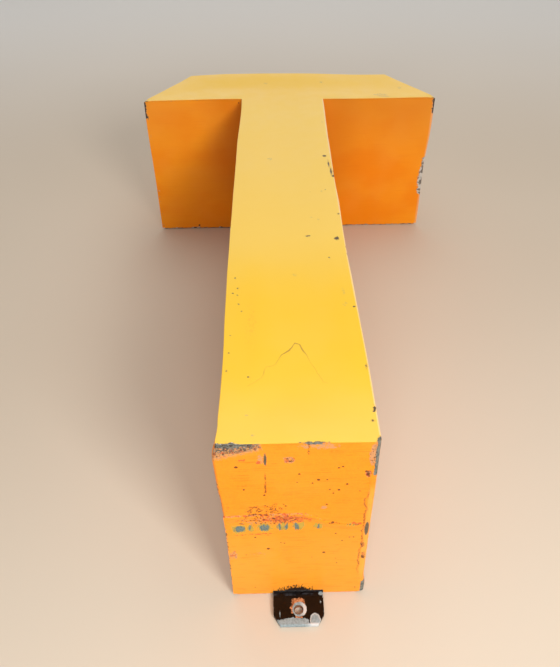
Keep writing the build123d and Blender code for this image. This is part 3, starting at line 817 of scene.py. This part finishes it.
def settled(points):
    """Where the points of a hand-made shell really lie, in millimetres: wavy, bowed and knocked."""
    x, y, z = points.T
    wave = np.array([noise.noise_vector(Vector(p) / 95.0) for p in points])
    ripple = np.array([noise.noise_vector(Vector(p) / 34.0 + Vector((7, 3, 1))) for p in points])
    calm = 0.25 + 0.75 * smooth_step(0, 45, z)
    moved = points + wave * 1.1 * calm[:, None] + ripple * 0.22

    # The panels' middles sink a little between their folds
    inset = inset_from_outline(points[:, :2])
    on_face = smooth_step(FRONT - 6, FRONT - 1, z)
    moved[:, 2] -= on_face * smooth_step(4, 36, inset) * 0.9
    belly = np.sin(np.clip(z / FRONT, 0, 1) * math.pi)
    at_foot = smooth_step(FOOT + 6, FOOT + 2, y)
    across = np.clip((x - STEM_LEFT) / (STEM_RIGHT - STEM_LEFT), 0, 1)
    moved[:, 1] += at_foot * belly * np.sin(across * math.pi) * 0.8
    by_wall = smooth_step(FOOT + 8, FOOT, y) * smooth_step(FOOT - 3, FOOT - 1, y)
    moved[:, 1] -= by_wall * smooth_step(45, 0, z) * 0.9

    # The foot's left fold bows out, the stem's edge next to it leans out, and the right fold has split
    at_left = smooth_step(STEM_LEFT + 16, STEM_LEFT + 2, x)
    moved[:, 0] += at_left * smooth_step(FOOT + 13, FOOT + 2, y) * np.interp(z, LEFT_BOW_Z, LEFT_BOW_X)
    near_foot = smooth_step(-110, -180, y) * smooth_step(FOOT + 3, FOOT + 16, y)
    moved[:, 0] -= at_left * smooth_step(90, 130, z) * near_foot * 0.9
    near_right = smooth_step(STEM_RIGHT - 1.6, STEM_RIGHT - 0.8, x) * smooth_step(FOOT + 30, FOOT + 4, y)
    near_right *= (x < STEM_RIGHT + 2) * (z > 1.2)
    moved[:, 0] += near_right * smooth_step(18, 10, z) * 1.4

    # The raised edge where the lower plate laps over the upper one
    seam = SEAM_TOP - sum(fall * smooth_step(start, end, x) for start, end, fall in SEAM_FALLS)
    lip = smooth_step(0, 1.2, seam - z) * smooth_step(7, 1.2, seam - z)
    moved[:, 1] -= smooth_step(FOOT + 0.6, FOOT + 0.2, y) * lip * 0.35

    # The stem bows a little to the left, the crossbar's ends reach out, and the front rises at the head
    stem = smooth_step(190, 90, y) * smooth_step(-195, -95, y)
    moved[:, 0] -= stem * STEM_BOW
    moved[:, 0] -= smooth_step(-105, -140, x) * LEFT_ARM_REACH
    moved[:, 0] += smooth_step(105, 140, x) * smooth_step(70, 110, z) * RIGHT_ARM_REACH
    height_share = smooth_step(60, FRONT, z)
    moved[:, 2] += height_share * smooth_step(120, SHOULDER, y) * smooth_step(60, -60, x) * 1.0
    head_middle = smooth_step(SHOULDER + 20, TOP, y) * smooth_step(100, 40, np.abs(x + 20))
    moved[:, 2] += height_share * head_middle * 1.2

    # Its front corners are knocked back
    corner_gap = np.hypot(np.abs(x) - face_high.x / MM, y - SHOULDER)
    knock = smooth_step(8, 0, corner_gap) * smooth_step(118, 143, z)
    moved[:, 1] += knock * 1.2
    moved[:, 2] -= knock * smooth_step(FRONT - 6, FRONT, z) * 1.6

    # Nothing sinks into what the letter lies on
    firm = smooth_step(0, 14, z)
    moved[:, 2] = z + (moved[:, 2] - z) * firm
    return moved


def coordinates(mesh):
    flat = np.empty(len(mesh.vertices) * 3)
    mesh.vertices.foreach_get("co", flat)
    return flat.reshape(-1, 3)


def move_points(mesh, points):
    mesh.vertices.foreach_set("co", points.ravel())
    mesh.update()


def fine_mesh(node, spacing, round_edge, sharp=30):
    """A CAD piece's mesh with rounded edges, cut into cells of about this spacing, in millimetres."""
    bm = bmesh.new()
    bm.from_mesh(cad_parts[node].data)
    bmesh.ops.remove_doubles(bm, verts=bm.verts, dist=0.002 * MM)
    bmesh.ops.dissolve_limit(bm, angle_limit=math.radians(0.5), verts=bm.verts, edges=bm.edges)
    edges = [e for e in bm.edges if e.is_manifold and e.calc_face_angle(0) > math.radians(sharp)]
    bmesh.ops.bevel(
        bm, geom=edges, offset=round_edge * MM, segments=2, profile=0.5, affect="EDGES", clamp_overlap=True
    )
    low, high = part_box(node)
    for axis in range(3):
        normal = Vector((axis == 0, axis == 1, axis == 2))
        cells = int((high[axis] - low[axis]) / (spacing * MM))
        for cut in range(1, cells):
            place = normal * (low[axis] + (high[axis] - low[axis]) * cut / cells)
            everything = bm.verts[:] + bm.edges[:] + bm.faces[:]
            bmesh.ops.bisect_plane(bm, geom=everything, plane_co=place, plane_no=normal, dist=0.01 * MM)
    for face in bm.faces:
        face.smooth = True
    for edge in bm.edges:
        edge.smooth = edge.calc_face_angle(0) < math.radians(50)
    mesh = bpy.data.meshes.new(node)
    bm.to_mesh(mesh)
    bm.free()
    return mesh


def piece(name, mesh, node, materials):
    """A shown piece that stands for a CAD node, which it hides, with the finishes it is given."""
    made = bpy.data.objects.new(name, mesh)
    bpy.context.scene.collection.objects.link(made)
    mesh.materials.clear()
    for material in materials:
        mesh.materials.append(material)
    normals = made.modifiers.new("normals", "WEIGHTED_NORMAL")
    normals.keep_sharp = True
    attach(made, "root")
    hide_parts(node)
    return made


def sheet_piece(name, node, outside, inside, spacing=4.0, round_edge=0.28, face=None):
    """A folded sheet, uneven as a hand-made one is, painted outside and bare inside."""
    mesh = fine_mesh(node, spacing, round_edge)
    rest = coordinates(mesh) / MM
    materials = [outside, inside] + ([face] if face else [])
    made = piece(name, mesh, node, materials)
    painted, bare, faced = 0, 1, 2
    for polygon in mesh.polygons:
        centre = rest[list(polygon.vertices)].mean(0)
        facing = polygon.normal.z
        if face:
            index = faced if facing > 0.45 else (bare if facing < -0.5 else painted)
        elif centre[2] < 1.3:  # a back flange, which is bare on the side that faces into the letter
            index = bare if facing > 0.3 else painted
        else:
            index = bare if inset_from_outline(centre[None, :2])[0] > 0.75 else painted
        polygon.material_index = index
    move_points(mesh, settled(rest) * MM)
    return made


def weld_piece(name, node, material, spacing, ripple, pitch):
    """A run of weld or solder with the ripples of its passes. Lengths are in millimetres."""
    mesh = fine_mesh(node, spacing, 0.12)
    points = coordinates(mesh) / MM
    flat = np.empty(len(mesh.vertices) * 3)
    mesh.vertices.foreach_get("normal", flat)
    normals = flat.reshape(-1, 3)
    travel = points.sum(1) / pitch * 2 * math.pi
    swell = np.array([noise.noise(Vector(p) / 4.0) for p in points])
    rise = ripple * (np.sin(travel + 2 * swell) * 0.5 + swell * 0.8 - 0.6)
    points = settled(points + normals * rise[:, None])
    points[:, 2] = np.maximum(points[:, 2], 0.2)
    move_points(mesh, points * MM)
    return piece(name, mesh, node, [material])


def bracket_piece(name, node, material):
    """A bent flat bar with rounded edges, a little out of true, that follows the wall it is welded to."""
    mesh = fine_mesh(node, 1.6, 0.45)
    points = coordinates(mesh) / MM
    wobble = np.array([noise.noise_vector(Vector(p) / 12.0) for p in points]) * 0.12
    wobble[:, 1] = 0
    wobble[:, 2] *= smooth_step(0.0, 3.0, points[:, 2])
    move_points(mesh, settled(points + wobble) * MM)
    return piece(name, mesh, node, [material])


def tie_piece(name, node, material):
    """A flat bar, sheared at its ends."""
    mesh = fine_mesh(node, 3.0, 0.35)
    points = coordinates(mesh) / MM
    wobble = np.array([noise.noise_vector(Vector(p) / 15.0) for p in points]) * 0.15
    wobble[:, 2] = 0
    move_points(mesh, settled(points + wobble) * MM)
    return piece(name, mesh, node, [material])


def build_letter():
    yellow, orange, black = yellow_face(), orange_wall(), black_bracket()
    zinc, ties, solder, weld = zinc_inside(), grey_ties(), solder_metal(), weld_metal()
    sheet_piece("face", "face_plate", orange, zinc, face=yellow)
    sheet_piece("left_wall", "left_return", orange, zinc, round_edge=0.08)
    sheet_piece("right_wall", "right_return", orange, zinc, round_edge=0.15)
    sheet_piece("head_wall", "head_return", orange, zinc)
    sheet_piece("upper_foot_plate", "foot_wall_upper", orange, zinc)
    sheet_piece("lower_foot_plate", "foot_wall_lower", orange, zinc, spacing=1.6)
    sheet_piece("foot_skim", "foot_filler", orange, orange, spacing=2.5, round_edge=0.04)
    sheet_piece("foot_tacks", "foot_tack_welds", orange, orange, spacing=1.0)
    for end in ("foot", "head"):
        bracket_piece(f"{end}_tab", f"{end}_bracket", black)
        weld_piece(f"{end}_tab_welds", f"{end}_bracket_welds", weld, 0.8, 0.35, 2.2)
    for node in ("stem_tie_lower", "stem_tie_upper", "left_arm_tie", "right_arm_tie"):
        tie_piece(f"{node}_bar", node, ties)
    weld_piece("tie_weld_runs", "tie_welds", weld, 0.8, 0.3, 2.0)
    weld_piece("face_solder", "face_seam_solder", solder, 4.0, 0.5, 14.0)
    weld_piece("corner_solder", "corner_seam_solder", solder, 1.5, 0.3, 5.0)


# ---------------------------------------------------------------- setting, light and camera

FLOOR_Z = -0.15 * MM
FLOOR_REACH = 40.0

# Softboxes: place, what they point at, width, power and colour
DAYLIGHT = (1.0, 0.985, 0.955)
SOFTBOXES = {
    "window": ((0.44, -0.95, 0.707), (0.0, -0.15, 0.07), 0.36, 9.9, DAYLIGHT),
    "front_fill": ((-0.05, -0.84, 0.36), (-0.01, -0.25, 0.06), 0.28, 2.4, DAYLIGHT),
    "ceiling": ((0.0, 0.62, 1.2), (0.0, 0.1, 0.14), 0.8, 3.2, (1.0, 0.99, 0.97)),
}
ROOM_COLOUR = (1.0, 0.99, 0.975, 1.0)
BACKDROP = 0.80  # how bright the room is where the camera sees it directly

CAMERA_PLACE = (-0.0183, -0.4524, 0.3933)
CAMERA_PITCH, CAMERA_YAW, CAMERA_ROLL = 41.02, -0.43, -0.86  # degrees
CAMERA_LENS, CAMERA_SENSOR = 35.1, 36.0  # millimetres


def lay_floor():
    """A sheet so wide that its edge is far away, just under the letter."""
    mesh = bpy.data.meshes.new("floor")
    signs = ((-1, -1), (1, -1), (1, 1), (-1, 1))
    corners = [(x * FLOOR_REACH, y * FLOOR_REACH, FLOOR_Z) for x, y in signs]
    mesh.from_pydata(corners, [], [(0, 1, 2, 3)])
    floor = bpy.data.objects.new("floor", mesh)
    mesh.materials.append(pale_floor())
    bpy.context.scene.collection.objects.link(floor)


def aim(thing, target):
    """Points a lamp from where it is at a target."""
    direction = Vector(target) - thing.location
    thing.rotation_euler = direction.to_track_quat("-Z", "Y").to_euler()


def add_softbox(name, location, target, size, power, colour):
    lamp = bpy.data.lights.new(name, "AREA")
    lamp.shape = "SQUARE"
    lamp.size = size
    lamp.energy = power
    lamp.color = colour
    softbox = bpy.data.objects.new(name, lamp)
    softbox.location = location
    bpy.context.scene.collection.objects.link(softbox)
    aim(softbox, target)


def light_studio():
    """Softboxes in front, before the foot and overhead, in a room that is brighter behind the letter."""
    for name, box in SOFTBOXES.items():
        add_softbox(name, *box)
    world = bpy.data.worlds.new("room")
    world.use_nodes = True
    tree = world.node_tree
    tree.nodes.clear()
    coordinates_node = tree.nodes.new("ShaderNodeTexCoord")
    split = tree.nodes.new("ShaderNodeSeparateXYZ")
    tree.links.new(coordinates_node.outputs["Generated"], split.inputs[0])
    along, up = Field(tree, split.outputs[1]), Field(tree, split.outputs[2])
    wall = along.step(-0.1, 0.55) * up.step(0.62, 0.36)
    overhead = up.step(0.70, 0.86)
    strength = wall * 1.30 + overhead * 0.50 + 0.15
    seen = Field(tree, tree.nodes.new("ShaderNodeLightPath").outputs["Is Camera Ray"])
    strength = strength + (BACKDROP - strength) * seen
    background = tree.nodes.new("ShaderNodeBackground")
    background.inputs["Color"].default_value = ROOM_COLOUR
    feed(tree, background.inputs["Strength"], strength)
    output = tree.nodes.new("ShaderNodeOutputWorld")
    tree.links.new(background.outputs[0], output.inputs["Surface"])
    bpy.context.scene.world = world


def place_camera():
    """Stands over the foot, a little to the letter's left, and looks down along it."""
    pitch, yaw, roll = [math.radians(a) for a in (CAMERA_PITCH, CAMERA_YAW, CAMERA_ROLL)]
    forward = Matrix.Rotation(yaw, 3, "Z") @ Vector((0, math.cos(pitch), -math.sin(pitch)))
    level = Matrix.Rotation(yaw, 3, "Z") @ Vector((1, 0, 0))
    upright = level.cross(forward)
    right = math.cos(roll) * level + math.sin(roll) * upright
    up = math.cos(roll) * upright - math.sin(roll) * level
    data = bpy.data.cameras.new("camera")
    data.sensor_width = CAMERA_SENSOR
    data.lens = CAMERA_LENS
    data.clip_start = 0.01
    camera = bpy.data.objects.new("camera", data)
    turn = Matrix((right, up, -forward)).transposed().to_4x4()
    camera.matrix_world = Matrix.Translation(CAMERA_PLACE) @ turn
    bpy.context.scene.collection.objects.link(camera)
    bpy.context.scene.camera = camera


place_camera()
build_letter()
lay_floor()
light_studio()
bpy.context.scene.view_settings.view_transform = "Standard"
